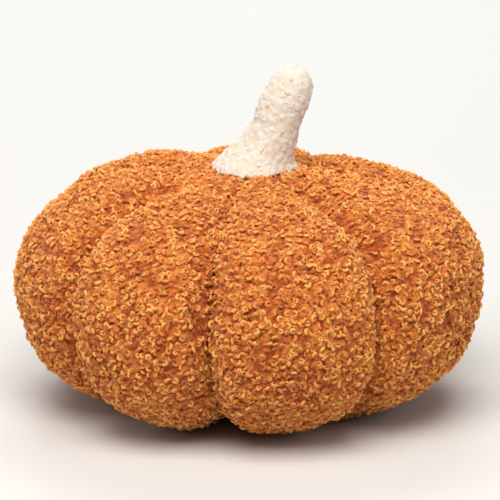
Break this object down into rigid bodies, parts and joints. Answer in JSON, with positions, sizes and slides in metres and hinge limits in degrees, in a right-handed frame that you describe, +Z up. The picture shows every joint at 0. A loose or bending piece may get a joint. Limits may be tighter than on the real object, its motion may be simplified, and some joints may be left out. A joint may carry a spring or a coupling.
{
  "type": "fabric pumpkin",
  "caption": "Squat stuffed pumpkin of looped-pile cloth, sewn in rounded lobes, with a leaning pale stem; it rests on a flat-pressed underside.",
  "frame": {"origin": "middle of the whole object's box, at the surface that it rests on", "axes": "+Z up; the front faces -Y and the stem leans towards +X"},
  "size_m": [0.2778, 0.284, 0.2046],
  "materials": {
    "orange_pile": "matt looped-pile (boucle) polyester cloth in terracotta orange, tight small curls",
    "cream_pile": "matt looped-pile (boucle) polyester cloth in cream, soft small curls"
  },
  "bodies": {
    "root": {"gore_1": "orange_pile", "gore_2": "orange_pile", "gore_3": "orange_pile", "gore_4": "orange_pile", "gore_5": "orange_pile", "gore_6": "orange_pile", "gore_7": "orange_pile", "stem": "cream_pile"}
  },
  "joints": []
}
